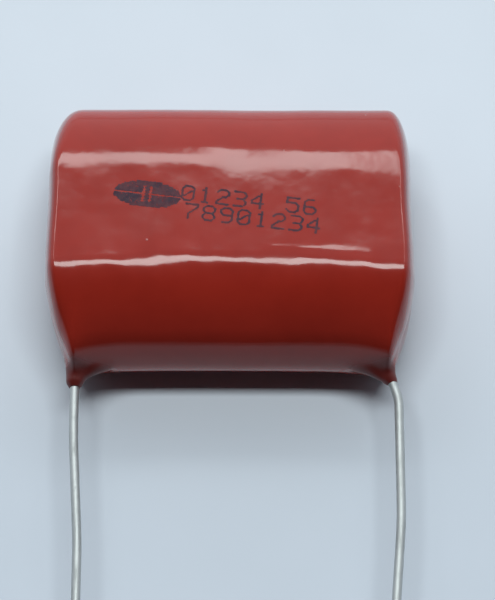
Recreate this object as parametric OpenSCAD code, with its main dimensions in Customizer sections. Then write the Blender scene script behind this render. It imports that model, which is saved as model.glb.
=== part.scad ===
// Dipped film capacitor: a flattened film roll with sprayed metal ends and two
// wire leads, all inside one smooth coat of epoxy resin.
//
// It is drawn lying on one of its two flat sides. X runs along the roll's axis,
// the leads leave towards -Y and +Z is up. The origin lies on the face that it
// rests on, midway between the leads' roots and under the middle of the roll.

/* [Film roll] */
// Width of the flattened roll, across its two round edges
roll_h = 21.8; // [18:0.2:28]
// Thickness of the flattened roll, across its two flats
roll_t = 10; // [8:0.2:14]
// Thickness of the bare film that closes the roll
wrap_t = 0.3; // [0.1:0.05:0.6]
// Width of the slit that the winding mandrel leaves in the roll
slit_w = 9; // [4:0.5:10]
// Height of that slit, after the roll is pressed flat
slit_t = 0.3; // [0.1:0.05:0.8]

/* [End metal] */
// Thickness of the metal sprayed on each end of the roll
spray_t = 0.4; // [0.2:0.05:0.8]

/* [Leads] */
// Pitch of the two leads: they leave the coat about this far apart
lead_pitch = 27.5; // [22.5:0.5:32.5]
// How much closer together the leads are at their roots, inside the coat
root_inset = 0.5; // [0.3:0.05:0.6]
// Diameter of the lead wire
lead_d = 0.8; // [0.6:0.1:1.2]
// Length of each lead beyond the body's lead side
lead_len = 30; // [27:0.5:36]
// Depth to which the welded lead is pressed into the end metal
weld_sink = 0.05; // [0.02:0.01:0.1]
// How far the welded lead reaches past the roll's middle
weld_reach = 6; // [0:0.5:8]
// Length of the chamfer on a lead's cut end
tip_chamfer = 0.15; // [0.05:0.05:0.25]
// How far the left lead leans inwards on its way out
lean = 0.55; // [0.4:0.05:0.8]
// How far the right lead bows outwards from its root
bow = 0.9; // [0.8:0.05:1.3]
// How far the right lead comes back inwards after that
come_back = 0.65; // [0.5:0.05:0.8]

/* [Coat] */
// Thickness of the coat on the roll's flats and round edges
coat_side = 1.2; // [0.8:0.05:1.4]
// Thickness of the coat beyond each lead, at the ends of the body
coat_end = 2.3; // [1.7:0.05:2.8]
// How far the coat sits off the middle of the roll, along X
coat_shift = -0.2; // [-0.25:0.05:0.25]
// Length of the end rounding along the two flats
flat_round = 1.2; // [0.8:0.1:2]
// Length of the left end's rounding along the round side away from the leads
left_back_round = 3.3; // [1.8:0.1:4]
// Length of the right end's rounding along that side
right_back_round = 2.3; // [1.8:0.1:4]
// Length of the end rounding along the round lead side
front_round = 1.8; // [1.2:0.1:2.2]
// Squareness of the end rounding: 2 is an ellipse, more is squarer
end_square = 2.4; // [2.2:0.1:3.5]
// How far each end draws in towards the lead edge
front_draw = 1.2; // [0:0.1:1.4]
// How far the underside of the left end draws in near its lead
left_undercut = 0.8; // [0:0.1:1]
// How far the underside of the right end draws in near its lead
right_undercut = 0.4; // [0:0.1:1]
// Depth of the shallow waist between the body's middle and its back edge
waist = 0.2; // [0:0.05:0.4]

/* [Crowns] */
// Length of the coat that runs down the left lead from the body
left_crown_len = 2.1; // [1.2:0.1:3]
// Length of the coat that runs down the right lead from the body
right_crown_len = 1.7; // [1.2:0.1:2.5]
// Thickness of the coat round the left lead
left_crown_wall = 0.35; // [0.15:0.05:0.6]
// Thickness of the coat round the right lead
right_crown_wall = 0.15; // [0.15:0.05:0.6]
// Width of the web between each crown and the body
web_w = 4.4; // [2:0.1:6]
// Growth of a crown's thickness on each side, from its tip to the body
web_t = 1.1; // [0.5:0.1:2]

/* [Hidden] */
$fn = 64;

// What the pieces' own sizes give.
root_x = (lead_pitch - root_inset) / 2;
film_w = 2 * root_x - lead_d + 2 * weld_sink - 2 * spray_t;
wrap_h = roll_h + 2 * wrap_t;
wrap_thick = roll_t + 2 * wrap_t;
body_t = wrap_thick + 2 * coat_side;
body_h = wrap_h + 2 * coat_side;
body_w = 2 * root_x + lead_d + 2 * coat_end;
mid_z = body_t / 2;

// The body's section is a stadium: this radius round a flat segment.
section_r = body_t / 2;
section_flat = body_h - body_t;
edge_y = -body_h / 2;

// How finely the coat's skin is drawn: all four are even or whole steps.
arc_steps = 20;
flat_steps = 6;
round_steps = 9;
crown_steps = 7;
ring_points = 24;
// The end rounding stops at this angle, where a small flat closes it.
last_angle = 84;

// Bends of the leads, in degrees and millimetres: the right one kinks outwards
// and later returns, the left one leans inwards.
kink_turn = 18;
kink_start_r = 2;
kink_end_r = 4;
return_turn = 4.5;
return_r = 45;
lean_turn = 3.2;
lean_r = 60;
// The straight stretches before each of them, the first two from the body's side.
before_kink = 0.1;
before_lean = 5;
before_return = 9;
kink_y = edge_y - before_kink;
lean_y = edge_y - before_lean;
// A bend is drawn this much thinner than the wire, so that its ends, which
// reach this far into the straight stretches, stay inside them.
bend_thinner = 0.004;
bend_lap = 0.06;

LEFT = -1;
RIGHT = 1;

// ---- Shapes that more than one piece uses ----

// A bar with a stadium section in the YZ plane, lying along X.
module stadium_bar(width, thick, length) {
    translate([-length / 2, 0, mid_z])
        rotate([90, 0, 90])
            linear_extrude(length) {
                square([width - thick, thick], center = true);
                for (s = [-1, 1])
                    translate([s * (width - thick) / 2, 0])
                        circle(d = thick);
            }
}

// A closed skin over rings of points. Each ring starts at one of its two
// extreme points and is symmetric about the line that joins them.
module skin(rings) {
    n = len(rings[0]);
    last = len(rings) - 1;
    walls = [
        for (i = [0:last - 1], j = [0:n - 1])
            let (a = i * n + j, b = i * n + (j + 1) % n)
                each [[a, b + n, b], [a, a + n, b + n]]
    ];
    cap = concat(
        [for (i = [0:n / 2 - 2]) [i, i + 1, n - 1 - i]],
        [for (i = [1:n / 2 - 1]) [i, n - 1 - i, n - i]]
    );
    far_cap = [for (t = cap) [for (k = [2:-1:0]) t[k] + last * n]];
    polyhedron([for (ring = rings) each ring], concat(cap, far_cap, walls));
}

// ---- The coat ----

// Points of the section as [middle of curvature, outward Y, outward Z].
RIM = concat(
    [for (q = [0:180 / arc_steps:90]) [section_flat / 2, cos(q), sin(q)]],
    [for (i = [1:flat_steps - 1]) [section_flat * (0.5 - i / flat_steps), 0, 1]],
    [for (q = [90:180 / arc_steps:270]) [-section_flat / 2, cos(q), sin(q)]],
    [for (i = [1:flat_steps - 1]) [section_flat * (i / flat_steps - 0.5), 0, -1]],
    [for (q = [270:180 / arc_steps:359]) [section_flat / 2, cos(q), sin(q)]]
);

function smooth(t) =
    let (c = max(0, min(1, t)))
    c * c * (3 - 2 * c);

// How far one of the body's ends falls back at a point of the section, where it
// has shrunk to this share of its full size.
function draws_in(side, p, share) =
    let (
        undercut = side == LEFT ? left_undercut : right_undercut,
        half = body_h / 2,
        y = p[0] + section_r * share * p[1],
        along = max(0, min(1, (y + 0.43 * half) / (1.23 * half)))
    )
    (p[1] < 0 ? front_draw * share * (1 - abs(p[2])) : 0)
        + undercut * (1 - share * p[2]) / 2 * smooth(-(y + 0.05 * half) / (0.75 * half))
        + waist * (1 - cos(360 * along)) / 2;

// The length of one end's rounding at a point of the section.
function rounding(side, p) =
    let (back_round = side == LEFT ? left_back_round : right_back_round)
    flat_round + ((p[1] < 0 ? front_round : back_round) - flat_round) * smooth(abs(p[1]) / 0.9);

// One ring of the body's skin, this far round the end rounding.
function body_ring(side, angle) =
    let (share = pow(cos(angle), 2 / end_square), past = 1 - pow(sin(angle), 2 / end_square))
    [
        for (p = RIM)
            let (x = body_w / 2 - rounding(side, p) * past - draws_in(side, p, share))
                [
                    coat_shift + side * x,
                    p[0] + section_r * share * p[1],
                    mid_z + section_r * share * p[2]
                ]
    ];

module coat_body() {
    angles = [for (i = [0:round_steps]) last_angle * i / round_steps];
    skin(concat(
        [for (i = [round_steps:-1:0]) body_ring(LEFT, angles[i])],
        [for (a = angles) body_ring(RIGHT, a)]
    ));
}

// How far the body's round lead side falls back at this height off its middle.
function fall_back(z) = section_r - sqrt(section_r * section_r - z * z);

// How far out the kinked right lead has gone at this distance along Y.
function kink_out(y) =
    let (r = kink_start_r, gone = max(0, kink_y - y), arc = r * sin(kink_turn))
    gone < arc ? r - sqrt(r * r - gone * gone)
        : r * (1 - cos(kink_turn)) + (gone - arc) * tan(kink_turn);

// One ring round a lead. Its flare is 0 at the crown's tip and nears 1 at the body.
function crown_ring(side, y, flare, fall, wall) =
    let (
        outer = lead_d / 2 + wall,
        across = outer + web_w * flare / 2,
        up = outer + web_t * flare,
        lead_x = side * root_x + (side == RIGHT ? kink_out(y) : 0)
    )
    [
        for (j = [0:ring_points - 1])
            let (q = 360 * j / ring_points, z = up * sin(q))
                [
                    lead_x - side * web_w * flare / 2 + across * cos(q),
                    y + fall * fall_back(z),
                    mid_z + z
                ]
    ];

// The coat's sleeve round a lead, and the web that joins it to the body.
module coat_crown(side, length, wall) {
    widest = 0.98;
    tip_y = edge_y - length;
    flares = [for (i = [crown_steps:-1:0]) 1 - sqrt(1 - pow(widest * i / crown_steps, 2))];
    skin(concat(
        [crown_ring(side, edge_y + section_r / 2, flares[0], 0, wall)],
        [
            for (i = [0:crown_steps])
                let (t = 1 - i / crown_steps)
                    crown_ring(side, tip_y + length * t, flares[i], t, wall)
        ],
        [crown_ring(side, tip_y - wall / 2, 0, 0, wall / 2)]
    ));
}

module epoxy_coat() {
    color("firebrick")
        difference() {
            union() {
                coat_body();
                coat_crown(LEFT, left_crown_len, left_crown_wall);
                coat_crown(RIGHT, right_crown_len, right_crown_wall);
            }
            stadium_bar(wrap_h, wrap_thick, film_w + 2 * spray_t);
            lead_root(LEFT, lean_y);
            lead_root(RIGHT, kink_y);
            right_kink();
        }
}

// ---- The pieces inside the coat ----

module film_roll() {
    color("lightgray")
        difference() {
            stadium_bar(roll_h, roll_t, film_w);
            stadium_bar(slit_w, slit_t, film_w + 2);
        }
}

module outer_wrap() {
    color("whitesmoke")
        difference() {
            stadium_bar(wrap_h, wrap_thick, film_w);
            stadium_bar(roll_h, roll_t, film_w + 2);
        }
}

// The sprayed metal on one end, with the groove that the welded lead sits in.
module end_metal(side) {
    color("darkgray")
        difference() {
            translate([side * (film_w + spray_t) / 2, 0, 0])
                stadium_bar(wrap_h, wrap_thick, spray_t);
            lead_root(side, edge_y);
        }
}

// ---- The leads ----

// A straight stretch of wire from here towards -Y.
module run(length) {
    rotate([90, 0, 0])
        cylinder(d = lead_d, h = length);
}

// A lead's straight root, from its weld on the roll's end to this distance along Y.
module lead_root(side, end_y) {
    translate([side * root_x, weld_reach, mid_z])
        run(weld_reach - end_y);
}

// Part of a ring of wire round this centre, from one angle through a turn.
module bend(centre, r, from, turn) {
    lap = bend_lap / r * 180 / PI;
    translate(centre)
        rotate([0, 0, from - lap])
            rotate_extrude(angle = turn + 2 * lap)
                translate([r, 0])
                    circle(d = lead_d - bend_thinner);
}

// The slanted stretch between two bends that together step aside this far.
function slant(step, turn, start_r, end_r) =
    (abs(step) - (start_r + end_r) * (1 - cos(turn))) / sin(turn);

// The distance along Y that such a step aside takes up.
function step_len(step, turn, start_r, end_r) =
    (start_r + end_r) * sin(turn) + slant(step, turn, start_r, end_r) * cos(turn);

// A step aside in a wire that heads towards -Y, and what follows it.
module step_aside(step, turn, start_r, end_r) {
    length = step_len(step, turn, start_r, end_r);
    mirror([step < 0 ? 1 : 0, 0, 0]) {
        bend([start_r, 0, 0], start_r, 180, turn);
        translate([start_r * (1 - cos(turn)), -start_r * sin(turn), 0])
            rotate([0, 0, turn])
                run(slant(step, turn, start_r, end_r));
        bend([abs(step) - end_r, -length, 0], end_r, 0, turn);
    }
    translate([step, -length, 0])
        children();
}

// The straight free end of a lead, from this distance along Y to its chamfered tip.
module free_end(from_y) {
    length = from_y - edge_y + lead_len - tip_chamfer;
    run(length);
    translate([0, -length, 0])
        rotate([90, 0, 0])
            cylinder(d1 = lead_d, d2 = lead_d - 2 * tip_chamfer, h = tip_chamfer);
}

module left_lead() {
    color("silver") {
        lead_root(LEFT, lean_y);
        translate([-root_x, lean_y, mid_z])
            step_aside(lean, lean_turn, lean_r, lean_r)
                free_end(lean_y - step_len(lean, lean_turn, lean_r, lean_r));
    }
}

// The right lead's step outwards, which starts inside its crown.
module right_kink() {
    translate([root_x, kink_y, mid_z])
        step_aside(bow, kink_turn, kink_start_r, kink_end_r)
            children();
}

module right_lead() {
    return_y = kink_y - step_len(bow, kink_turn, kink_start_r, kink_end_r) - before_return;
    color("silver") {
        lead_root(RIGHT, kink_y);
        right_kink() {
            run(before_return);
            translate([0, -before_return, 0])
                step_aside(-come_back, return_turn, return_r, return_r)
                    free_end(return_y - step_len(come_back, return_turn, return_r, return_r));
        }
    }
}

epoxy_coat();
film_roll();
outer_wrap();
end_metal(LEFT);  // left_end_metal
end_metal(RIGHT);  // right_end_metal
left_lead();
right_lead();
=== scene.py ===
"""Looks of a dipped film capacitor: its epoxy coat, ink marking, wire leads and studio.

Meshes are worked out in millimetres in the part's own frame, in which the body rests
on z = 0, its leads leave towards -Y and X runs along the wound roll, and are scaled
to metres as they are made.
"""

from __future__ import annotations

import logging
import math
from dataclasses import dataclass, field
from enum import Enum
from typing import Callable

import bpy
import numpy as np
from bpy.types import Material, Node, NodeTree, Object
from bpy.types import NodeSocket as Socket
from mathutils import Matrix, Vector

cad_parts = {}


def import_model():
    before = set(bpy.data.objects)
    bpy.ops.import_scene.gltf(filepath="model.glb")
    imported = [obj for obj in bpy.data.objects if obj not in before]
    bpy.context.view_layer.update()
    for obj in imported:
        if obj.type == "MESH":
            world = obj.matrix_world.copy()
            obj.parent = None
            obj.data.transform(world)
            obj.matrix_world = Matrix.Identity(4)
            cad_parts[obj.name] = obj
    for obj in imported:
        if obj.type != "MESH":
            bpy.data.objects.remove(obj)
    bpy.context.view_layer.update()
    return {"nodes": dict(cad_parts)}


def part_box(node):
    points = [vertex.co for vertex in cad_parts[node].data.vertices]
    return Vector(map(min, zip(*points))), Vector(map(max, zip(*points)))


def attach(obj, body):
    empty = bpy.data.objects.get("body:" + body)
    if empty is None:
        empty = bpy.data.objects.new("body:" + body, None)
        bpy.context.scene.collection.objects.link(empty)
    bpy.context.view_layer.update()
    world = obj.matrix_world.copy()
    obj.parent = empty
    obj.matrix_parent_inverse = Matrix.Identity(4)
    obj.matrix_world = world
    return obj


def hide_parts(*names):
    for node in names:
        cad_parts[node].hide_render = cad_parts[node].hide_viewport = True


LOG = logging.getLogger("capacitor")
MM = 0.001
BODY = "root"
PICTURE_WIDTH, PICTURE_HEIGHT = 495, 600
TINY = 1e-9

Array = np.ndarray
Pair = tuple[float, float]
Colour = tuple[float, float, float, float]


# ---- small helpers


def smooth_step(t: Array) -> Array:
    """A share that eases from 0 to 1 as t goes from 0 to 1."""
    c = np.clip(t, 0.0, 1.0)
    return c * c * (3.0 - 2.0 * c)


def blend(a: Array | float, b: Array | float, share: Array) -> Array:
    """The value this share of the way from a to b."""
    return a + (b - a) * share


def smooth_union(a: Array, b: Array, reach: float) -> Array:
    """Joins two fields with a fillet.

    Args:
        a: Signed distance to the first form.
        b: Signed distance to the second form.
        reach: Distance over which the two melt together.

    Returns:
        The joined field.
    """
    h = np.clip(0.5 + 0.5 * (b - a) / reach, 0.0, 1.0)
    return blend(b, a, h) - reach * h * (1.0 - h)


def from_line(points: Array, a: Array, b: Array) -> Array:
    """Measures points of a plane from the straight line between two others.

    Args:
        points: An N by 2 array.
        a: One end of the line.
        b: The other end.

    Returns:
        The distance of each point from the line.
    """
    line = b - a
    gone = np.clip((points - a) @ line / (line @ line), 0.0, 1.0)
    gap = points - a - gone[:, None] * line
    return np.hypot(gap[:, 0], gap[:, 1])


def from_triangle(points: Array, corners: Array) -> Array:
    """Measures points of a plane from a triangle.

    Args:
        points: An N by 2 array.
        corners: The triangle's three corners, in either order.

    Returns:
        The distance of each point from the triangle, which is 0 inside it.
    """
    edges = list(zip(corners, np.roll(corners, -1, axis=0)))
    turns = [(b - a)[0] * (points - a)[:, 1] - (b - a)[1] * (points - a)[:, 0] for a, b in edges]
    inside = np.abs(np.sign(turns).sum(axis=0)) == 3.0
    return np.where(inside, 0.0, np.min([from_line(points, a, b) for a, b in edges], axis=0))


class Side(Enum):
    """Which of the two leads a thing belongs to."""

    LEFT = -1
    RIGHT = 1


# ---- shader building


class Bench:
    """Places and joins shader nodes in one node tree."""

    def __init__(self, tree: NodeTree) -> None:
        """Starts on an empty tree."""
        self.tree = tree
        tree.nodes.clear()

    def add(self, kind: str, feeds: dict | None = None, **settings: object) -> Node:
        """Adds a node.

        Args:
            kind: The node's type, such as "ShaderNodeMath".
            feeds: Input name or number to a plain value or to another node's output.
            settings: Properties of the node itself.

        Returns:
            The new node.
        """
        node = self.tree.nodes.new(kind)
        for name, value in settings.items():
            setattr(node, name, value)
        for key, value in (feeds or {}).items():
            if isinstance(value, Socket):
                self.tree.links.new(value, node.inputs[key])
            else:
                node.inputs[key].default_value = value
        return node

    def math(self, operation: str, *terms: object) -> Socket:
        """The output of a math node with these terms."""
        return self.add("ShaderNodeMath", dict(enumerate(terms)), operation=operation).outputs[0]

    def mix(self, share: object, a: object, b: object) -> Socket:
        """A colour this share of the way from a to b."""
        return self.add("ShaderNodeMix", {0: share, 6: a, 7: b}, data_type="RGBA").outputs[2]

    def span(self, value: object, low: float, high: float, to_low: float = 0.0,
             to_high: float = 1.0) -> Socket:
        """A value that eases from to_low at low to to_high at high."""
        feeds = {0: value, 1: low, 2: high, 3: to_low, 4: to_high}
        return self.add("ShaderNodeMapRange", feeds, interpolation_type="SMOOTHSTEP").outputs[0]

    def spread(self, noise: object, to_low: float = 0.0, to_high: float = 1.0) -> Socket:
        """A noise's usual range, 0.3 to 0.7, spread over to_low to to_high."""
        return self.span(noise, 0.3, 0.7, to_low, to_high)

    def noise(self, place: object, scale: object, detail: float = 2.0,
              rough: float = 0.5) -> Socket:
        """The value of a noise texture at a place, about 0.5 on average."""
        feeds = {"Vector": place, "Scale": scale, "Detail": detail, "Roughness": rough}
        return self.add("ShaderNodeTexNoise", feeds).outputs["Fac"]

    def bump(self, height: object, strength: float) -> Socket:
        """The normals of a surface with this relief, in millimetres."""
        feeds = {"Height": height, "Strength": strength, "Distance": MM}
        return self.add("ShaderNodeBump", feeds).outputs[0]

    def millimetres(self, stretch: tuple[float, float, float] = (1.0, 1.0, 1.0)) -> Socket:
        """The point being shaded, in millimetres times this stretch."""
        feeds = {"Vector": self.add("ShaderNodeTexCoord").outputs["Object"],
                 "Scale": tuple(s / MM for s in stretch)}
        return self.add("ShaderNodeMapping", feeds).outputs[0]

    def from_front(self) -> Socket:
        """How far back the point being shaded is along Y, in millimetres."""
        return self.add("ShaderNodeSeparateXYZ", {0: self.millimetres()}).outputs[1]

    def group(self, tree: NodeTree, feeds: dict) -> Node:
        """Places a node group with its own values."""
        return self.add("ShaderNodeGroup", feeds, node_tree=tree)

    def surface(self, feeds: dict) -> None:
        """Puts a Principled shader with these values and sockets on the output."""
        shader = self.add("ShaderNodeBsdfPrincipled", feeds)
        self.add("ShaderNodeOutputMaterial", {"Surface": shader.outputs[0]})


def empty_group(name: str, inputs: dict[str, float], outputs: tuple[str, ...]
                ) -> tuple[Bench, Node, Node]:
    """Starts a shader node group.

    Args:
        name: The group's name.
        inputs: Name and default of each float input.
        outputs: Name of each float output.

    Returns:
        Its bench, its input node and its output node.
    """
    bench = Bench(bpy.data.node_groups.new(name, "ShaderNodeTree"))
    face = bench.tree.interface
    for label, value in inputs.items():
        socket = face.new_socket(label, in_out="INPUT", socket_type="NodeSocketFloat")
        socket.default_value = value
    for label in outputs:
        face.new_socket(label, in_out="OUTPUT", socket_type="NodeSocketFloat")
    return bench, bench.add("NodeGroupInput"), bench.add("NodeGroupOutput")


class SharedEffects:
    """The shader node groups that more than one finish uses."""

    def __init__(self) -> None:
        """Builds each group once."""
        self.specks = self._build_specks()
        self.mottle = self._build_mottle()

    def _build_specks(self) -> NodeTree:
        """Builds sparse round specks, such as dust or pinholes.

        Returns:
            A group with inputs Per Millimetre and Share, and outputs Mask and Height.
        """
        bench, into, out = empty_group(
            "specks", {"Per Millimetre": 1.0, "Share": 0.1}, ("Mask", "Height")
        )
        feeds = {"Vector": bench.millimetres(), "Scale": into.outputs["Per Millimetre"]}
        cells = bench.add("ShaderNodeTexVoronoi", feeds)
        pick = bench.add("ShaderNodeSeparateColor", {0: cells.outputs["Color"]}).outputs[0]
        chosen = bench.math("LESS_THAN", pick, into.outputs["Share"])
        radius = bench.math("ADD", bench.math("MULTIPLY", pick, 0.6), 0.12)
        dot = bench.span(bench.math("SUBTRACT", radius, cells.outputs["Distance"]), 0.0, 0.08)
        mask = bench.math("MULTIPLY", dot, chosen)
        bench.tree.links.new(mask, out.inputs["Mask"])
        bench.tree.links.new(bench.math("MULTIPLY", mask, 0.02), out.inputs["Height"])
        return bench.tree

    def _build_mottle(self) -> NodeTree:
        """Builds a soft, uneven patchiness in two sizes.

        Returns:
            A group with inputs Coarse and Fine, in patches per millimetre, and output Mask.
        """
        bench, into, out = empty_group("mottle", {"Coarse": 0.2, "Fine": 1.0}, ("Mask",))
        place = bench.millimetres()
        wide = bench.math("MULTIPLY", bench.noise(place, into.outputs["Coarse"], 3.0), 0.7)
        close = bench.math("MULTIPLY", bench.noise(place, into.outputs["Fine"]), 0.3)
        mask = bench.span(bench.math("ADD", wide, close), 0.35, 0.65)
        bench.tree.links.new(mask, out.inputs["Mask"])
        return bench.tree


# ---- finishes


@dataclass(frozen=True)
class Finish:
    """The look of one kind of surface."""

    effects: SharedEffects
    name: str = "plain"

    def make(self) -> Material:
        """Builds the material.

        Returns:
            The material, with its nodes joined.
        """
        material = bpy.data.materials.new(self.name)
        material.use_nodes = True
        self.shade(Bench(material.node_tree))
        return material

    def shade(self, bench: Bench) -> None:
        """Joins the material's nodes, which differ from finish to finish."""
        raise NotImplementedError

    def patches(self, bench: Bench, coarse: float, fine: float) -> Socket:
        """A mask of soft patches in two sizes, given in patches per millimetre."""
        return bench.group(self.effects.mottle, {"Coarse": coarse, "Fine": fine}).outputs[0]

    def specks(self, bench: Bench, density: float, share: float) -> tuple[Socket, Socket]:
        """Mask and height of specks: cells per millimetre, and the share that has one."""
        feeds = {"Per Millimetre": density, "Share": share}
        return tuple(bench.group(self.effects.specks, feeds).outputs)


@dataclass(frozen=True)
class EpoxyFinish(Finish):
    """Glossy red powder-filled epoxy that has flowed and set, rougher on the crowns, with shade
    painted into their colour.
    """

    name: str = "red_epoxy"
    red: Colour = (0.295, 0.0195, 0.0110, 1.0)
    deep_red: Colour = (0.270, 0.0175, 0.0098, 1.0)
    # painted shade: the darker red that the crowns are given
    painted_shade_red: Colour = (0.110, 0.0085, 0.0060, 1.0)
    dust: Colour = (0.55, 0.36, 0.33, 1.0)
    crowns_from: float = -12.4
    crown_rough: float = 0.42

    def shade(self, bench: Bench) -> None:
        """Joins the nodes: mottled red, dust, orange peel, and on the crowns rougher resin and a
        painted shade.

        Args:
            bench: The material's node tree.
        """
        colour = bench.mix(self.patches(bench, 0.16, 0.9), self.deep_red, self.red)
        dusty, raised = self.specks(bench, 1.1, 0.035)
        colour = bench.mix(bench.math("MULTIPLY", dusty, 0.35), colour, self.dust)
        body = bench.span(bench.from_front(), self.crowns_from - 0.6, self.crowns_from + 0.3)
        # painted shade: the crowns are coloured a darker red, which stands in for the shade that
        # falls on them
        colour = bench.mix(body, self.painted_shade_red, colour)
        place = bench.millimetres()
        peel = bench.math("MULTIPLY", bench.noise(place, 0.9, 1.0), 0.010)
        grain = bench.math("MULTIPLY", bench.noise(place, 9.0), 0.0006)
        height = bench.math("ADD", bench.math("ADD", peel, grain), raised)
        gloss = bench.spread(bench.noise(place, 0.5, 3.0), 0.08, 0.12)
        dull = bench.span(body, 0.0, 1.0, self.crown_rough, 0.0)
        bench.surface({
            "IOR": 1.5, "Base Color": colour, "Roughness": bench.math("MAXIMUM", gloss, dull),
            "Normal": bench.bump(height, 1.0),
        })


@dataclass(frozen=True)
class InkFinish(Finish):
    """Dark stamping ink, thin and broken, that lets the red through."""

    name: str = "marking_ink"
    ink: Colour = (0.034, 0.017, 0.030, 1.0)
    worn: Colour = (0.085, 0.022, 0.030, 1.0)

    def shade(self, bench: Bench) -> None:
        """Joins the nodes: worn patches in the ink and an uneven sheen.

        Args:
            bench: The material's node tree.
        """
        colour = bench.mix(self.patches(bench, 0.8, 4.0), self.ink, self.worn)
        rough = bench.spread(bench.noise(bench.millimetres(), 3.0), 0.4, 0.6)
        bench.surface({"Specular IOR Level": 0.15, "Base Color": colour, "Roughness": rough})


@dataclass(frozen=True)
class TinnedWireFinish(Finish):
    """Bright tinned wire with fine draw marks along it and a few dull smears."""

    name: str = "tinned_wire"
    bright: Colour = (0.52, 0.545, 0.54, 1.0)
    dull: Colour = (0.41, 0.43, 0.425, 1.0)
    least_rough: float = 0.56

    def shade(self, bench: Bench) -> None:
        """Joins the nodes: streaks along the wire, smears and pinholes.

        Args:
            bench: The material's node tree.
        """
        streaks = bench.noise(bench.millimetres((1.0, 0.05, 1.0)), 7.0, 4.0, 0.6)
        smears = self.patches(bench, 0.35, 2.2)
        share = bench.math("MULTIPLY", smears, bench.span(streaks, 0.35, 0.7))
        rough = bench.math("ADD", bench.math("MULTIPLY", share, 0.12), self.least_rough)
        pinholes = self.specks(bench, 2.5, 0.08)[1]
        height = bench.math("SUBTRACT", bench.math("MULTIPLY", streaks, 0.012), pinholes)
        bench.surface({
            "Metallic": 1.0, "Base Color": bench.mix(share, self.bright, self.dull),
            "Roughness": rough, "Normal": bench.bump(height, 0.8),
        })


@dataclass(frozen=True)
class FilmFinish(Finish):
    """Metallised film seen from outside and on its wound edges."""

    name: str = "metallised_film"
    silver: Colour = (0.62, 0.63, 0.65, 1.0)
    shadow: Colour = (0.42, 0.43, 0.47, 1.0)

    def shade(self, bench: Bench) -> None:
        """Joins the nodes: fine lines where the turns end.

        Args:
            bench: The material's node tree.
        """
        turns = bench.noise(bench.millimetres((0.02, 1.0, 1.0)), 14.0, 3.0)
        colour = bench.mix(bench.spread(turns), self.shadow, self.silver)
        bench.surface({
            "Metallic": 0.6, "Base Color": colour,
            "Roughness": bench.spread(turns, 0.25, 0.4),
            "Normal": bench.bump(bench.math("MULTIPLY", turns, 0.02), 0.5),
        })


@dataclass(frozen=True)
class WrapFinish(Finish):
    """Bare, slightly milky film wound round the roll."""

    name: str = "bare_film"
    clear: Colour = (0.78, 0.77, 0.72, 1.0)
    milky: Colour = (0.88, 0.88, 0.86, 1.0)

    def shade(self, bench: Bench) -> None:
        """Joins the nodes: milky patches, a little rougher than the clear ones.

        Args:
            bench: The material's node tree.
        """
        patch = self.patches(bench, 0.1, 0.6)
        rough = bench.span(patch, 0.0, 1.0, 0.18, 0.3)
        colour = bench.mix(patch, self.clear, self.milky)
        bench.surface({"IOR": 1.49, "Base Color": colour, "Roughness": rough})


@dataclass(frozen=True)
class SprayedMetalFinish(Finish):
    """Porous grey metal, sprayed on in droplets."""

    name: str = "sprayed_metal"
    light: Colour = (0.50, 0.50, 0.51, 1.0)
    dark: Colour = (0.30, 0.30, 0.32, 1.0)

    def shade(self, bench: Bench) -> None:
        """Joins the nodes: grain and close-set droplets.

        Args:
            bench: The material's node tree.
        """
        droplets = self.specks(bench, 6.0, 0.5)[1]
        grain = bench.noise(bench.millimetres(), 12.0, 4.0, 0.7)
        height = bench.math("ADD", bench.math("MULTIPLY", grain, 0.04), droplets)
        bench.surface({
            "Metallic": 0.8, "Roughness": 0.6, "Normal": bench.bump(height, 0.8),
            "Base Color": bench.mix(bench.spread(grain), self.dark, self.light),
        })


@dataclass(frozen=True)
class PaperFinish(Finish):
    """Pale bluish card, matt and faintly uneven, with a painted shade that darkens it towards the
    front.
    """

    name: str = "pale_card"
    pale: Colour = (0.468, 0.500, 0.555, 1.0)
    # painted shade: dim is the card's colour in front, darker to stand in for less light falling
    # there
    dim: Colour = (0.394, 0.428, 0.485, 1.0)
    stain: Colour = (0.25, 0.29, 0.32, 1.0)
    patchiness: float = 0.05
    painted_shade_full_at: float = -32.0
    pale_at: float = 24.0

    def shade(self, bench: Bench) -> None:
        """Joins the nodes: a painted shade that darkens the card from back to front, stains and
        fibres.

        Args:
            bench: The material's node tree.
        """
        # painted shade: the card's colour goes from dim in front to pale at the back
        card_with_painted_shade = bench.mix(bench.span(bench.from_front(), self.painted_shade_full_at, self.pale_at),
                          self.dim, self.pale)
        stained = bench.math("MULTIPLY", self.patches(bench, 0.03, 0.12), self.patchiness)
        fibre = bench.math("MULTIPLY", bench.noise(bench.millimetres(), 3.0, 3.0), 0.01)
        bench.surface({
            "Roughness": 0.9, "Base Color": bench.mix(stained, card_with_painted_shade, self.stain),
            "Normal": bench.bump(fibre, 0.3),
        })


# ---- meshes


def placed(name: str, data: object) -> Object:
    """Puts a new object in the scene.

    Args:
        name: The object's name.
        data: Its mesh, lamp or camera.

    Returns:
        The object.
    """
    thing = bpy.data.objects.new(name, data)
    bpy.context.scene.collection.objects.link(thing)
    return thing


def mesh_object(name: str, points: Array, faces: Array | list,
                material: Material, normals: Array | None = None
                ) -> Object:
    """Makes a smooth-shaded mesh object from points in millimetres.

    Args:
        name: The object's name.
        points: An N by 3 array, in millimetres in the part's frame.
        faces: Rows of point numbers.
        material: The piece's finish.
        normals: One outward direction for each point, where they are known exactly.

    Returns:
        The object, linked to the scene and riding on the part.
    """
    mesh = bpy.data.meshes.new(name)
    rows = faces.tolist() if isinstance(faces, Array) else faces
    mesh.from_pydata((points * MM).tolist(), [], rows)
    mesh.materials.append(material)
    mesh.shade_smooth()
    if normals is not None:
        mesh.normals_split_custom_set_from_vertices(normals.tolist())
    mesh.validate(clean_customdata=False)
    thing = placed(name, mesh)
    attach(thing, BODY)
    return thing


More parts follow.
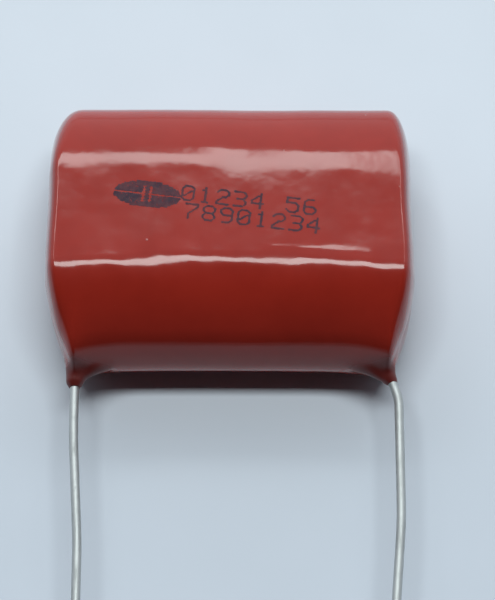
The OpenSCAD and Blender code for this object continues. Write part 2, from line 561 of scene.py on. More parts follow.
class FieldMesher:
    """Turns the zero level of a smooth field into an even mesh of quads."""

    first_rounds = 5
    passes = 3
    pass_rounds = 2
    margin_cells = 2
    least_slope = 1e-4

    def __init__(self, level: Callable[[Array], Array], low: Array,
                 high: Array, step: float) -> None:
        """Keeps the field and the block of space to search.

        Args:
            level: Gives the field at an N by 3 array of points; it is negative inside.
            low: Lowest corner of the block.
            high: Highest corner of the block.
            step: Size of a cell.
        """
        self.level = level
        self.low = low - self.margin_cells * step
        self.counts = np.ceil((high - low) / step).astype(int) + 2 * self.margin_cells + 1
        self.step = step

    def slope(self, points: Array, reach: float = 0.02) -> Array:
        """The field's gradient at each point, from points this far to its sides."""
        rises = [self.level(points + s) - self.level(points - s) for s in reach * np.eye(3)]
        return np.stack(rises, axis=1) / (2.0 * reach)

    def settle(self, points: Array, rounds: int) -> Array:
        """Moves points onto the zero level by Newton's method.

        Args:
            points: An N by 3 array of points near the level.
            rounds: How often they are moved.

        Returns:
            The moved points.
        """
        for _ in range(rounds):
            slope = self.slope(points)
            size = np.maximum((slope * slope).sum(axis=1), self.least_slope)
            move = (self.level(points) / size)[:, None] * slope
            length = np.linalg.norm(move, axis=1, keepdims=True)
            points = points - move * np.minimum(1.0, self.step / np.maximum(length, TINY))
        return points

    def build(self) -> tuple[Array, Array, Array]:
        """Meshes the field.

        Returns:
            The points, the quads and the outward direction at each point.
        """
        axes = [self.low[k] + self.step * np.arange(self.counts[k]) for k in range(3)]
        grid = np.stack(np.meshgrid(*axes, indexing="ij"), axis=-1).reshape(-1, 3)
        inside = (self.level(grid) < 0.0).reshape(self.counts)
        quads, flips = [], []
        for axis in range(3):
            order = [axis, (axis + 1) % 3, (axis + 2) % 3]
            turned = inside.transpose(order)
            cross = turned[:-1, 1:-1, 1:-1] != turned[1:, 1:-1, 1:-1]
            i, j, k = np.nonzero(cross)
            j, k = j + 1, k + 1
            corners = []
            for dj, dk in ((-1, -1), (0, -1), (0, 0), (-1, 0)):
                cell = np.zeros((len(i), 3), int)
                cell[:, order[0]], cell[:, order[1]], cell[:, order[2]] = i, j + dj, k + dk
                corners.append(np.ravel_multi_index(cell.T, self.counts))
            quads.append(np.stack(corners, axis=1))
            flips.append(~turned[i, j, k])
        faces, flip = np.concatenate(quads), np.concatenate(flips)
        faces[flip] = faces[flip][:, ::-1]
        used, numbers = np.unique(faces, return_inverse=True)
        faces = numbers.reshape(faces.shape)
        cells = np.stack(np.unravel_index(used, self.counts), axis=1)
        points = self.settle(self.low + self.step * (cells + 0.5), self.first_rounds)
        for _ in range(self.passes):
            points = self.settle(self._relaxed(points, faces), self.pass_rounds)
        slope = self.slope(points)
        return points, faces, slope / np.linalg.norm(slope, axis=1, keepdims=True)

    @staticmethod
    def _relaxed(points: Array, faces: Array) -> Array:
        """Moves each point halfway to the middle of its neighbours.

        Args:
            points: The mesh's points.
            faces: Its quads, as rows of point numbers.

        Returns:
            The moved points.
        """
        total = np.zeros_like(points)
        count = np.zeros(len(points))
        for a, b in ((0, 1), (1, 2), (2, 3), (3, 0)):
            for here, beside in ((a, b), (b, a)):
                np.add.at(total, faces[:, here], points[faces[:, beside]])
                np.add.at(count, faces[:, here], 1.0)
        return 0.5 * points + 0.5 * total / count[:, None]


@dataclass(frozen=True)
class Ripple:
    """A smooth, uneven swell made of crossing waves."""

    height: float
    wavelength: float
    seed: int
    waves: int = 14
    wavelengths: Pair = (0.7, 1.6)

    def at(self, points: Array) -> Array:
        """Works out the swell's height.

        Args:
            points: An N by 3 array.

        Returns:
            The height at each point.
        """
        source = np.random.default_rng(self.seed)
        total = np.zeros(len(points))
        for _ in range(self.waves):
            heading = source.normal(size=3)
            heading *= 2.0 * math.pi / (self.wavelength * source.uniform(*self.wavelengths))
            heading /= math.sqrt(3.0)
            total += np.sin(points @ heading + source.uniform(0.0, 2.0 * math.pi))
        return self.height * total * math.sqrt(2.0 / self.waves)


@dataclass(frozen=True)
class StepAside:
    """A sideways step in a wire that heads towards -Y: two bends and a slant."""

    start_y: float
    aside: float
    turn_deg: float
    start_r: float
    end_r: float

    def at(self, y: Array) -> Array:
        """Works out how far aside the wire's middle has gone.

        Args:
            y: Distances along Y.

        Returns:
            The way along X at each of them.
        """
        turn = math.radians(self.turn_deg)
        first, last = self.start_r * math.sin(turn), self.end_r * math.sin(turn)
        rise = abs(self.aside) - (self.start_r + self.end_r) * (1.0 - math.cos(turn))
        slant = rise / math.tan(turn)
        gone = self.start_y - y
        bend_in = self.start_r - np.sqrt(self.start_r**2 - np.clip(gone, 0.0, first) ** 2)
        straight = np.clip(gone - first, 0.0, slant) * math.tan(turn)
        left = np.clip(first + slant + last - gone, 0.0, last)
        bend_out = self.end_r * (1.0 - math.cos(turn)) - (
            self.end_r - np.sqrt(self.end_r**2 - left**2)
        )
        return math.copysign(1.0, self.aside) * (bend_in + straight + bend_out)


@dataclass(frozen=True)
class LeadRoute:
    """The middle line of one lead, in millimetres."""

    side: Side
    root_x: float
    height: float
    steps: tuple[StepAside, ...]

    def x_at(self, y: Array) -> Array:
        """Where the lead's middle is along X at each distance along Y."""
        return sum((step.at(np.asarray(y, float)) for step in self.steps), self.root_x)


@dataclass(frozen=True)
class LeadSideProfile:
    """The lead side of the body's section: arcs from the upper flat to the lower one.

    The surface turns from facing up, at 0 degrees, to facing down, at 180: round a
    ridge, over a broad slope and a shoulder, round the nose and under it. It is
    measured from a point at mid height below the ridge's start.
    """

    depth: float
    height: float
    ridge_r: float = 5.6
    slope_r: float = 13.0
    nose_r: float = 4.86
    ridge_turn: float = 17.0
    slope_turn: float = 40.0
    nose_turn: float = 58.0
    under_turn: float = 118.0
    arc_samples: int = 400
    line_samples: int = 60

    def polar(self) -> tuple[Array, Array]:
        """Works out the profile from its arcs.

        Returns:
            Angles above the horizontal, rising, and the profile's distance at each.
        """
        turns = np.radians([
            0.0, self.ridge_turn, self.slope_turn, self.nose_turn, self.under_turn, 180.0
        ])
        sines, cosines = np.sin(turns), np.cos(turns)
        taken = self.ridge_r * sines[1] + self.slope_r * (sines[2] - sines[1])
        taken += self.nose_r * (1.0 - sines[3])
        shoulder_r = (self.depth - taken) / (sines[3] - sines[2])
        radii = [self.ridge_r, self.slope_r, shoulder_r, self.nose_r, 0.0]
        fallen = sum(r * (cosines[k] - cosines[k + 1]) for k, r in enumerate(radii))
        radii[4] = (2.0 * self.height - fallen) / (cosines[4] + 1.0)
        out, up = [np.zeros(1)], [np.full(1, self.height)]
        for k, r in enumerate(radii):
            turn = np.linspace(turns[k], turns[k + 1], self.arc_samples)
            out.append(out[-1][-1] + r * (np.sin(turn) - sines[k]))
            up.append(up[-1][-1] - r * (cosines[k] - np.cos(turn)))
        out.append(np.linspace(out[-1][-1], 0.0, self.line_samples))
        up.append(np.full(self.line_samples, up[-1][-1]))
        along, high = np.concatenate(out)[::-1], np.concatenate(up)[::-1]
        return np.arctan2(high, along), np.hypot(along, high)


@dataclass(frozen=True)
class Wrinkle:
    """A fine raised line in the resin, drawn through points of the plan."""

    points: tuple[Pair, ...]
    height: float
    half_width: float

    def at(self, points: Array) -> Array:
        """Works out the wrinkle's height.

        Args:
            points: An N by 3 array.

        Returns:
            The height at each point.
        """
        lines = [np.array(ends) for ends in zip(self.points, self.points[1:])]
        nearest = np.min([from_line(points[:, :2], *ends) for ends in lines], axis=0)
        return self.height * np.exp(-((nearest / self.half_width) ** 2))


@dataclass(frozen=True)
class CoatForm:
    """The outside of the coat as a smooth field, in millimetres.

    Where a size is a pair, the left end has the first one and the right end the other.
    Shares of the depth are measured from the body's middle and are negative in front.
    """

    low: tuple[float, float, float]
    high: tuple[float, float, float]
    routes: tuple[LeadRoute, LeadRoute]
    wire_r: float
    skin_inset: float = 0.05
    full_length_past: float = 0.09
    front_draw: float = 1.2
    undercuts: Pair = (0.8, 0.4)
    undercut_from: float = -0.05
    undercut_length: float = 0.75
    waist: float = 0.2
    waist_from: float = -0.43
    waist_length: float = 1.23
    sides_meet: float = 4.0
    back_arc_starts: Pair = (3.6, 2.85)
    back_arc_power: float = 2.3
    ridge_from: float = 4.4
    ridge_bows: Pair = (0.55, 0.85)
    bow_length: float = 16.0
    nose_inset: float = 0.03
    end_power: float = 2.4
    flat_round: float = 1.2
    back_rounds: Pair = (3.3, 2.3)
    front_round: float = 1.8
    rounds_change_by: float = 0.9
    rounds_from: float = 4.0
    least_slope: float = 0.3
    sleeve_walls: Pair = (0.34, 0.14)
    sleeve_lengths: Pair = (2.1, 1.7)
    sleeve_rise: float = 0.8
    sleeve_at_tip: float = 0.25
    sleeve_inside: float = 4.0
    web_corners: tuple[Pair, ...] = ((0.1, -1.2), (2.4, 0.3), (0.1, 2.6))
    web_half: float = 0.45
    web_fillet: float = 0.5
    crown_fillet: float = 1.1
    crown_reach: float = 5.0
    drapes: Pair = (1.0, 0.9)
    drape_reaches: Pair = (1.3, 1.9)
    drape_rise: float = 1.2
    drape_from: float = 0.1
    ridge_ripple: Ripple = Ripple(0.016, 3.4, 21)
    ridge_ripple_past: float = 0.9
    ridge_ripple_half: float = 1.2
    ripples: tuple[Ripple, ...] = (Ripple(0.007, 10.0, 5), Ripple(0.0022, 3.2, 8))
    back_ripple: Ripple = Ripple(0.010, 7.0, 11)
    back_ripple_from: float = 1.5
    back_ripple_rise: float = 3.0
    dent_limit: float = 0.046
    wrinkle: Wrinkle = Wrinkle(((3.6, -4.1), (8.2, -4.4), (11.8, -4.65)), 0.010, 0.2)

    @property
    def section_r(self) -> float:
        """Radius of the section's round edges."""
        return (self.high[2] - self.low[2]) / 2.0

    @property
    def mid_z(self) -> float:
        """Height of the middle of the body."""
        return (self.high[2] + self.low[2]) / 2.0

    def _section(self, x: Array, y: Array, z: Array, r: float
                 ) -> tuple[Array, Array]:
        """Places points in the body's section.

        Args:
            x: Distance along the roll from the body's middle.
            y: Distance along Y.
            z: Height above the body's middle.
            r: Half the section's thickness.

        Returns:
            How far out each point is on its round side, where 1 is the edge, and its
            size as a share of the section's outline in its direction.
        """
        deep = self.high[1] - self.skin_inset
        arc_from = blend(*self.back_arc_starts, smooth_step(x / self.sides_meet + 0.5))
        back = np.clip(y - arc_from, 0.0, None) / (deep - arc_from)
        power = self.back_arc_power
        back_rho = (back**power + (np.abs(z) / r) ** power) ** (1.0 / power)
        depth = deep - self.nose_inset - self.ridge_from
        bow = np.where(x < 0.0, *self.ridge_bows)
        ridge_from = self.ridge_from + bow * smooth_step(np.abs(x) / self.bow_length)
        reach = deep - self.nose_inset - ridge_from
        past = np.clip(-y - ridge_from, 0.0, None)
        hang = self._drape(x) * smooth_step(past / reach - self.drape_from)
        front = past / (reach + hang)
        angles, distances = LeadSideProfile(depth, r).polar()
        outline = np.interp(np.arctan2(z, front * depth), angles, distances)
        front_rho = np.hypot(front * depth, z) / outline
        is_back = y > 0.0
        return np.where(is_back, back, front), np.where(is_back, back_rho, front_rho) + TINY

    def _drape(self, x: Array) -> Array:
        """Works out how far the resin hangs past the lead edge, most beside the leads.

        Args:
            x: Distances along the roll from the body's middle.

        Returns:
            The overhang at each of them.
        """
        middle = (self.low[0] + self.high[0]) / 2.0
        total = np.zeros_like(x)
        for route, drop, reach in zip(self.routes, self.drapes, self.drape_reaches):
            inward = -route.side.value * (x + middle - route.root_x)
            fall = np.exp(-np.clip(inward, 0.0, None) / reach)
            total += drop * fall * smooth_step(1.0 + inward / self.drape_rise)
        return total

    def body(self, points: Array) -> Array:
        """The body without its crowns.

        Args:
            points: An N by 3 array.

        Returns:
            About the signed distance to the body at each point.
        """
        x = points[:, 0] - (self.low[0] + self.high[0]) / 2.0
        y, z = points[:, 1], points[:, 2] - self.mid_z
        r, power, deep = self.section_r - self.skin_inset, self.end_power, self.high[1]
        out, rho = self._section(x, y, z, r)
        up = np.abs(z) / r
        aside = smooth_step(out / rho / self.rounds_change_by)
        back_round = np.where(x < 0.0, *self.back_rounds)
        end_round = blend(self.flat_round, np.where(y > 0.0, back_round, self.front_round), aside)
        along = np.clip((y / deep - self.waist_from) / self.waist_length, 0.0, 1.0)
        undercut = np.where(x < 0.0, *self.undercuts)
        to_leads = smooth_step((self.undercut_from - y / deep) / self.undercut_length)
        falls_back = (
            np.where(y < 0.0, self.front_draw, 0.0) * np.clip(rho - up, 0.0, None)
            + undercut * 0.5 * (1.0 - z / r) * to_leads
            + self.waist * 0.5 * (1.0 - np.cos(2.0 * math.pi * along))
        )
        half = (self.high[0] - self.low[0]) / 2.0 + self.full_length_past - self.skin_inset
        half = half - falls_back
        e = np.clip((np.abs(x) - (half - end_round)) / end_round, 0.0, None)
        share = (e**power + rho**power) ** (1.0 / power)
        squash = blend(1.0, (r / (deep - self.rounds_from)) ** 2, aside)
        across = (rho / share) ** (2.0 * power - 2.0) * squash
        ahead = ((e / share) ** (power - 1.0) / end_round) ** 2
        steepness = np.maximum(across / r**2 + ahead, self.least_slope / r**2)
        return (share - 1.0) / np.sqrt(steepness)

    def crown(self, points: Array, number: int) -> Array:
        """One lead's sleeve of resin and the web on its inner side.

        Args:
            points: An N by 3 array.
            number: 0 for the left lead, 1 for the right one.

        Returns:
            About the signed distance to the crown at each point.
        """
        route = self.routes[number]
        inward = -route.side.value
        edge = -self.high[1]
        tip = edge - self.sleeve_lengths[number]
        y, z = points[:, 1], points[:, 2] - self.mid_z
        dx = points[:, 0] - route.x_at(y)
        from_tip = y - tip
        wall = self.sleeve_walls[number] * smooth_step(
            from_tip / self.sleeve_rise + self.sleeve_at_tip
        )
        sleeve = np.hypot(dx, z) - self.wire_r - wall
        sleeve = np.maximum(sleeve, np.maximum(-from_tip, y - edge - self.sleeve_inside))
        corners = np.array([
            (route.root_x + inward * across, edge + along) for across, along in self.web_corners
        ])
        web = np.hypot(from_triangle(points[:, :2], corners), z) - self.web_half
        return smooth_union(sleeve, web, self.web_fillet)

    def level(self, points: Array) -> Array:
        """Works out the whole coat's field.

        Args:
            points: An N by 3 array.

        Returns:
            The field at each point: negative inside, zero on the skin.
        """
        total = self.body(points)
        near = points[:, 1] < -self.high[1] + self.crown_reach
        close = points[near]
        joined = total[near]
        for number in (0, 1):
            joined = smooth_union(joined, self.crown(close, number), self.crown_fillet)
        total[near] = joined
        dent = -self.wrinkle.at(points) * (points[:, 2] > self.mid_z)
        for ripple in self.ripples:
            dent += ripple.at(points)
        y = points[:, 1]
        at_back = smooth_step((y - self.back_ripple_from) / self.back_ripple_rise)
        dent += self.back_ripple.at(points) * at_back
        from_ridge = y + self.ridge_from + self.ridge_ripple_past
        near_ridge = np.exp(-((from_ridge / self.ridge_ripple_half) ** 2))
        dent += self.ridge_ripple.at(points) * near_ridge
        return total + dent / (1.0 + (dent / self.dent_limit) ** 4) ** 0.25

    def top_at(self, x: Array, y: Array, rounds: int = 6, reach: float = 0.01,
               least_rate: float = 0.2) -> Array:
        """Finds the coat's upper skin above points of the plan.

        Args:
            x: Their distances along X.
            y: Their distances along Y.
            rounds: How often the height is bettered.
            reach: How far up the field is compared.
            least_rate: The least change of the field with height that is used.

        Returns:
            The skin's height at each of them.
        """
        z = np.full(len(x), self.high[2] - self.skin_inset)
        for _ in range(rounds):
            here = np.stack([x, y, z], axis=1)
            level = self.level(here)
            rate = (self.level(here + np.array([0.0, 0.0, reach])) - level) / reach
            z = z - level / np.maximum(rate, least_rate)
        return z


# ---- the part's pieces


@dataclass
class EpoxyCoat:
    """The dipped coat: body, crowns and webs in one skin."""

    form: CoatForm
    finish: EpoxyFinish
    cell: float = 0.2

    def build(self) -> Object:
        """Builds the coat in place of its CAD node.

        Returns:
            The coat's object.
        """
        low, high = np.array(self.form.low), np.array(self.form.high)
        points, quads, normals = FieldMesher(self.form.level, low, high, self.cell).build()
        coat = mesh_object("coat_skin", points, quads, self.finish.make(), normals)
        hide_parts("epoxy_coat")
        return coat


@dataclass
class Marking:
    """The marking on the upper face: an oval badge and two rows of plain digits."""

    form: CoatForm
    finish: InkFinish
    tilt_deg: float = -7.5
    badge_middle: Pair = (-7.3, 1.05)
    badge_half: Pair = (2.95, 1.3)
    row_starts: tuple[Pair, ...] = ((-3.75, 1.15), (-3.45, -0.65))
    rows: tuple[str, ...] = ("01234 56", "78901234")
    advance: float = 1.52
    digit_w: float = 1.0
    digit_h: float = 1.4
    dot_r: float = 0.115
    badge_pitch: float = 0.17
    badge_row_share: float = 0.866
    plate_from_middle: float = 0.32
    plate_half: Pair = (0.13, 0.8)
    wire_half: float = 0.11
    wire_from: float = 0.3
    seed: int = 3
    jitter: float = 0.012
    dot_sizes: Pair = (0.75, 1.15)
    dot_corners: int = 8
    dot_lifts: Pair = (0.012, 0.003)
    digits: tuple[str, ...] = (
        "01110 10001 10011 10101 11001 10001 01110",
        "00100 01100 00100 00100 00100 00100 01110",
        "01110 10001 00001 00110 01000 10000 11111",
        "11110 00001 00001 01110 00001 00001 11110",
        "00010 00110 01010 10010 11111 00010 00010",
        "11111 10000 11110 00001 00001 10001 01110",
        "01110 10000 10000 11110 10001 10001 01110",
        "11111 00001 00010 00100 01000 01000 01000",
        "01110 10001 10001 01110 10001 10001 01110",
        "01110 10001 10001 01111 00001 00001 01110",
    )

    def _turned(self, points: list[Pair], middle: Pair
                ) -> Array:
        """Tilts points of the marking about their own zero and moves them.

        Args:
            points: Points of the plan.
            middle: Where their zero goes.

        Returns:
            The moved points, N by 2.
        """
        angle = math.radians(self.tilt_deg)
        turn = np.array([[math.cos(angle), math.sin(angle)], [-math.sin(angle), math.cos(angle)]])
        return np.array(points) @ turn + np.array(middle)

    def _digit_dots(self) -> Array:
        """Lays out the dots of both rows of digits.

        Returns:
            Their middles in the plan, N by 2.
        """
        across, down = self.digit_w / 4.0, self.digit_h / 6.0
        groups = []
        for start, row in zip(self.row_starts, self.rows):
            dots = [
                (place * self.advance + column * across - self.digit_w / 2.0,
                 self.digit_h / 2.0 - line * down)
                for place, sign in enumerate(row)
                if sign != " "
                for line, column in self._inked(self.digits[int(sign)].split())
            ]
            groups.append(self._turned(dots, start))
        return np.concatenate(groups)

    @staticmethod
    def _inked(lines: list[str]) -> list[Pair]:
        """Joins a digit's cells into strokes.

        Args:
            lines: The digit's rows of cells, in which 1 is inked.

        Returns:
            Row and column of each dot: the inked cells and the middles between
            neighbours of them.
        """
        cells = [(i, j) for i, row in enumerate(lines) for j, cell in enumerate(row) if cell == "1"]
        dots = [(float(i), float(j)) for i, j in cells]
        for i, j in cells:
            for down, right in ((0, 1), (1, 0), (1, -1), (1, 1)):
                cut_off = down and right and ((i, j + right) in cells or (i + 1, j) in cells)
                if (i + down, j + right) in cells and not cut_off:
                    dots.append((i + 0.5 * down, j + 0.5 * right))
        return dots

    def _badge_dots(self) -> Array:
        """Lays out the badge: an oval with a capacitor's circuit symbol left bare.

        Returns:
            The middles of its dots in the plan, N by 2.
        """
        half_w, half_h = self.badge_half
        pitch, row_share = self.badge_pitch, self.badge_row_share
        dots = []
        for line in range(int(2.0 * half_h / (row_share * pitch)) + 1):
            v = -half_h + line * row_share * pitch
            for column in range(int(2.0 * half_w / pitch) + 1):
                u = -half_w + (column + 0.5 * (line % 2)) * pitch
                in_oval = (u / half_w) ** 2 + (v / half_h) ** 2 < 1.0
                from_plate = abs(abs(u) - self.plate_from_middle), abs(v)
                plate = from_plate[0] < self.plate_half[0] and from_plate[1] < self.plate_half[1]
                wire = abs(v) < self.wire_half and abs(u) > self.wire_from
                if in_oval and not plate and not wire:
                    dots.append((u, v))
        return self._turned(dots, self.badge_middle)

    def build(self) -> Object:
        """Builds the marking as thin dots of ink on the coat.

        Returns:
            The marking's object.
        """
        centres = np.concatenate([self._badge_dots(), self._digit_dots()])
        source = np.random.default_rng(self.seed)
        centres = centres + source.normal(scale=self.jitter, size=centres.shape)
        radii = self.dot_r * source.uniform(*self.dot_sizes, size=len(centres))
        corners = self.dot_corners
        angles = np.arange(corners) * 2.0 * math.pi / corners
        ring = np.stack([np.cos(angles), np.sin(angles)], axis=1)
        rims = centres[:, None, :] + radii[:, None, None] * ring[None, :, :]
        plan = np.concatenate([centres[:, None, :], rims], axis=1).reshape(-1, 2)
        middle_lift, rim_lift = self.dot_lifts
        lift = np.tile(np.array([middle_lift] + [rim_lift] * corners), len(centres))
        z = self.form.top_at(plan[:, 0], plan[:, 1]) + lift
        points = np.column_stack([plan, z])
        faces = [
            (first, first + 1 + k, first + 1 + (k + 1) % corners)
            for first in range(0, len(plan), corners + 1)
            for k in range(corners)
        ]
        marking = mesh_object("ink_marking", points, faces, self.finish.make())
        return marking


@dataclass
class WireLead:
    """One tinned wire lead, from its weld to its cut tip."""

    name: str
    node: str
    route: LeadRoute
    wire_r: float
    start_y: float
    end_y: float
    material: Material
    ring: int = 28
    spacing: float = 0.25
    chamfer: float = 0.15
    unevenness: float = 0.006
    uneven_rate: float = 3.1

    def build(self) -> Object:
        """Builds the lead in place of its CAD node.

        Returns:
            The lead's object.
        """
        count = int((self.start_y - self.end_y) / self.spacing)
        y = np.linspace(self.start_y, self.end_y + self.chamfer, count)
        y = np.append(y, self.end_y)
        x = self.route.x_at(y)
        heading = np.stack([np.gradient(x, y), np.ones_like(y)], axis=1)
        heading /= np.linalg.norm(heading, axis=1, keepdims=True)
        swell = np.sin(self.uneven_rate * y + self.route.root_x)
        radius = self.wire_r * (1.0 - self.unevenness * (1.0 + swell))
        radius[-1] = self.wire_r - self.chamfer
        angles = np.arange(self.ring) * 2.0 * math.pi / self.ring
        across, up = np.cos(angles), np.sin(angles)
        points = np.empty((len(y), self.ring, 3))
        points[:, :, 0] = x[:, None] + radius[:, None] * across * heading[:, 1:2]
        points[:, :, 1] = y[:, None] - radius[:, None] * across * heading[:, 0:1]
        points[:, :, 2] = self.route.height + radius[:, None] * up
        around = list(range(self.ring))
        faces = [
            [start + j, start + k, start + self.ring + k, start + self.ring + j]
            for start in range(0, (len(y) - 1) * self.ring, self.ring)
            for j, k in zip(around, around[1:] + around[:1])
        ]
        faces += [around[::-1], [(len(y) - 1) * self.ring + j for j in around]]
        lead = mesh_object(self.name, points.reshape(-1, 3), faces, self.material)
        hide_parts(self.node)
        return lead


@dataclass
class InnerPieces:
    """The pieces that the coat hides, which keep their CAD shapes."""

    nodes: dict[str, Object]
    effects: SharedEffects

    def dress(self) -> None:
        """Gives each inner node its finish."""
        sprayed = SprayedMetalFinish(self.effects).make()
        finishes = {
            "film_roll": FilmFinish(self.effects).make(),
            "outer_wrap": WrapFinish(self.effects).make(),
            "left_end_metal": sprayed,
            "right_end_metal": sprayed,
        }
        for name, material in finishes.items():
            for slot in self.nodes[name].material_slots:
                slot.material = material
            LOG.info("%s: dressed with %s", name, material.name)


# ---- studio


class Lights(Enum):
    """What a lamp lights."""

    ALL = "all"
    PART = "part"
    FLOOR = "floor"


@dataclass(frozen=True)
class Lamp:
    """A soft rectangular lamp aimed at the part."""

    name: str
    azimuth_deg: float
    elevation_deg: float
    width: float
    height: float
    watts: float
    distance: float = 0.55
    colour: tuple[float, float, float] = (0.93, 1.0, 0.99)
    aside: float = 0.0
    lights: Lights = Lights.ALL
    mirrored: bool = True

    def build(self, target: Vector) -> Object:
        """Adds the lamp. Azimuth 0 is behind the part and 90 is to its right.

        Args:
            target: The point that it faces, when it isn't moved aside.

        Returns:
            The lamp's object.
        """
        data = bpy.data.lights.new(self.name, "AREA")
        data.shape = "RECTANGLE"
        data.size, data.size_y = self.width, self.height
        data.energy, data.color = self.watts, self.colour
        lamp = placed(self.name, data)
        azimuth, elevation = math.radians(self.azimuth_deg), math.radians(self.elevation_deg)
        away = Vector((math.sin(azimuth) * math.cos(elevation),
                       math.cos(azimuth) * math.cos(elevation), math.sin(elevation)))
        beside = Vector((math.cos(azimuth), -math.sin(azimuth), 0.0))
        lamp.location = target + away * self.distance + beside * self.aside
        lamp.rotation_euler = Matrix((beside, away.cross(beside), away)).transposed().to_euler()
        lamp.visible_glossy = self.mirrored
        return lamp


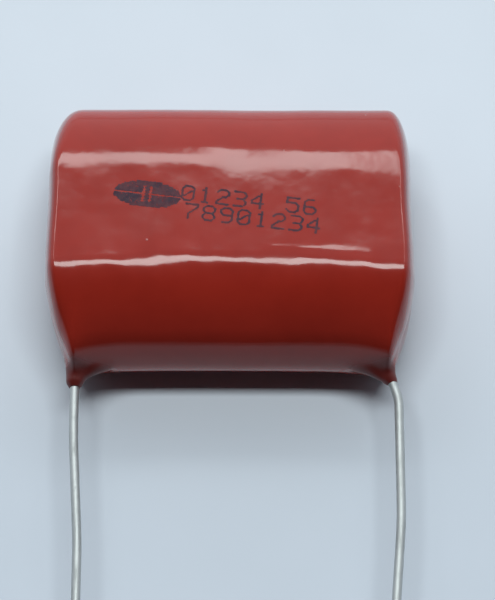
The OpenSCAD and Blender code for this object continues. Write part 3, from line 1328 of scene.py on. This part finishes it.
@dataclass
class Studio:
    """The floor, the lamps, the surroundings and the camera."""

    effects: SharedEffects
    target: Vector = field(default_factory=lambda: Vector((1.39, -5.9, 6.5)) * MM)
    camera_elevation_deg: float = 62.0
    camera_distance: float = 0.30
    seen_width: float = 43.2 * MM
    sensor_width: float = 36.0
    camera_range: Pair = (0.01, 20.0)
    floor_half: float = 1.2
    room_colour: Colour = (0.85, 0.90, 0.97, 1.0)
    lamps: tuple[Lamp, ...] = (
        Lamp("back_left", 0.0, 53.5, 0.185, 0.056, 0.205, distance=0.4, aside=-0.0985),
        Lamp("back_middle", 0.0, 51.0, 0.033, 0.0945, 0.062, distance=0.4, aside=0.0105),
        Lamp("back_right", 0.0, 51.0, 0.157, 0.0945, 0.15, distance=0.4, aside=0.1055),
        Lamp("back_fill", 0.0, 60.0, 0.40, 0.30, 0.85, 0.5, lights=Lights.PART, mirrored=False),
        Lamp("top_strip", 0.0, 80.0, 0.32, 0.096, 0.92, lights=Lights.PART),
        Lamp("overhead", 0.0, 96.8, 0.36, 0.080, 3.0, lights=Lights.FLOOR),
        Lamp("left_strip", -36.0, 55.0, 0.04, 0.18, 0.09),
        Lamp("right_strip", 36.0, 55.0, 0.04, 0.18, 0.09),
    )

    def _build_floor(self) -> Object:
        """Adds the pale floor, large enough to be all that the camera sees.

        Returns:
            The floor's object.
        """
        half = self.floor_half
        mesh = bpy.data.meshes.new("floor")
        signs = ((-1, -1), (1, -1), (1, 1), (-1, 1))
        mesh.from_pydata([(a * half, b * half, 0.0) for a, b in signs], [], [(0, 1, 2, 3)])
        mesh.materials.append(PaperFinish(self.effects).make())
        floor = placed("floor", mesh)
        return floor

    def _build_world(self) -> None:
        """Sets the surroundings: a pale room, dim in front and pale along its horizon."""
        world = bpy.data.worlds.new("surroundings")
        world.use_nodes = True
        bench = Bench(world.node_tree)
        heading = bench.add("ShaderNodeTexCoord").outputs["Generated"]
        parts = bench.add("ShaderNodeSeparateXYZ", {0: heading}).outputs
        from_front = bench.span(parts[1], low=-0.40, high=0.55, to_low=0.03, to_high=0.95)
        ceiling = bench.span(parts[2], low=0.55, high=0.95, to_low=1.0, to_high=0.6)
        off_level = bench.math("ABSOLUTE", parts[2])
        horizon = bench.span(off_level, low=0.06, high=0.12, to_low=0.29, to_high=0.0)
        strength = bench.math("MAXIMUM", bench.math("MULTIPLY", from_front, ceiling), horizon)
        feeds = {"Color": self.room_colour, "Strength": strength}
        light = bench.add("ShaderNodeBackground", feeds)
        bench.add("ShaderNodeOutputWorld", {"Surface": light.outputs[0]})
        bpy.context.scene.world = world

    def _build_camera(self) -> None:
        """Sets the camera above and in front of the part."""
        data = bpy.data.cameras.new("camera")
        data.sensor_fit = "AUTO"
        data.sensor_width = self.sensor_width
        seen_height = self.seen_width * PICTURE_HEIGHT / PICTURE_WIDTH
        data.lens = data.sensor_width * self.camera_distance / seen_height
        data.clip_start, data.clip_end = self.camera_range
        camera = placed("camera", data)
        tilt = math.radians(self.camera_elevation_deg)
        away = Vector((0.0, -math.cos(tilt), math.sin(tilt)))
        camera.location = self.target + away * self.camera_distance
        camera.rotation_mode = "QUATERNION"
        camera.rotation_quaternion = (-away).to_track_quat("-Z", "Y")
        bpy.context.scene.camera = camera

    def build(self) -> None:
        """Builds the whole studio."""
        bpy.context.scene.view_settings.view_transform = "Standard"
        self._build_camera()
        self._build_world()
        floor = self._build_floor()
        shares = {Lights.FLOOR: "INCLUDE", Lights.PART: "EXCLUDE"}
        receivers = {}
        for lights, state in shares.items():
            receivers[lights] = bpy.data.collections.new(f"lit_{lights.value}")
            receivers[lights].objects.link(floor)
            receivers[lights].collection_objects[0].light_linking.link_state = state
        for lamp in self.lamps:
            built = lamp.build(self.target)
            if lamp.lights in receivers:
                built.light_linking.receiver_collection = receivers[lamp.lights]
        LOG.info("studio: %d lamps", len(self.lamps))


# ---- assembly


def corners_mm(node: str) -> tuple[Array, Array]:
    """The lowest and the highest corner of a CAD node, in millimetres."""
    low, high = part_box(node)
    return np.array(low) / MM, np.array(high) / MM


def lead_routes() -> tuple[tuple[LeadRoute, LeadRoute], float]:
    """Works out both leads' middle lines.

    Returns:
        The left and the right route, and the wire's radius.
    """
    left_low, left_high = corners_mm("left_lead")
    right_low, _ = corners_mm("right_lead")
    wire_r = (left_high[2] - left_low[2]) / 2.0
    height = (left_high[2] + left_low[2]) / 2.0
    edge = -corners_mm("epoxy_coat")[1][1]
    left_root, right_root = left_low[0] + wire_r, right_low[0] + wire_r
    lean = left_high[0] - wire_r - left_root
    inwards = StepAside(edge - 5.0, aside=lean, turn_deg=3.2, start_r=60.0, end_r=60.0)
    kink = StepAside(edge - 0.1, aside=0.9, turn_deg=18.0, start_r=2.0, end_r=4.0)
    back = StepAside(edge - 12.82, aside=-0.65, turn_deg=4.5, start_r=45.0, end_r=45.0)
    left = LeadRoute(Side.LEFT, left_root, height, (inwards,))
    right = LeadRoute(Side.RIGHT, right_root, height, (kink, back))
    return (left, right), wire_r


def main() -> None:
    """Builds the dressed part and its studio."""
    logging.basicConfig(level=logging.INFO, format="%(name)s %(message)s")
    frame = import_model()
    effects = SharedEffects()
    routes, wire_r = lead_routes()
    low, high = corners_mm("epoxy_coat")
    form = CoatForm(tuple(low), tuple(high), routes, wire_r)
    makers = [EpoxyCoat(form, EpoxyFinish(effects)), Marking(form, InkFinish(effects))]
    wire = TinnedWireFinish(effects).make()
    for route, node in zip(routes, ("left_lead", "right_lead")):
        (_, end_y, _), (_, start_y, _) = corners_mm(node)
        makers.append(WireLead(f"{node}_wire", node, route, wire_r, start_y, end_y, wire))
    for maker in makers:
        piece = maker.build()
        LOG.info("%s: %d faces", piece.name, len(piece.data.polygons))
    InnerPieces(frame["nodes"], effects).dress()
    Studio(effects).build()


if __name__ == "__main__":
    main()
